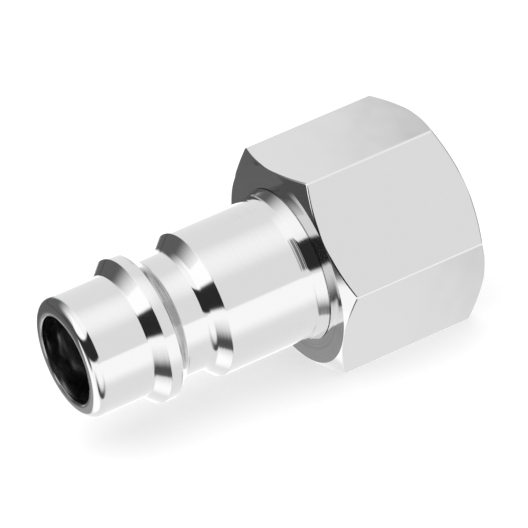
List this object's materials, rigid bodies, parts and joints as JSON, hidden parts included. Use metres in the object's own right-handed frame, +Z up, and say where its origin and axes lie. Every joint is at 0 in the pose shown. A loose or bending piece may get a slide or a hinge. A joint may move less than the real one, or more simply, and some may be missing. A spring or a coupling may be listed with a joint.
{
  "type": "pneumatic quick coupling",
  "caption": "Plug half of a compressed-air quick coupling: turned nose with retaining bead and ball neck, and a hexagon with a female thread in the rear.",
  "frame": {"origin": "on the surface that the lower hexagon flat lies on, half way along the part's length, under its axis", "axes": "+X along the part's axis from the nose to the threaded end, +Z up, square to the upper flat"},
  "size_m": [0.0336, 0.0196, 0.017],
  "materials": {
    "plated_steel": "bright nickel plate over turned steel"
  },
  "bodies": {
    "root": {"plug_body": "plated_steel"}
  },
  "joints": []
}
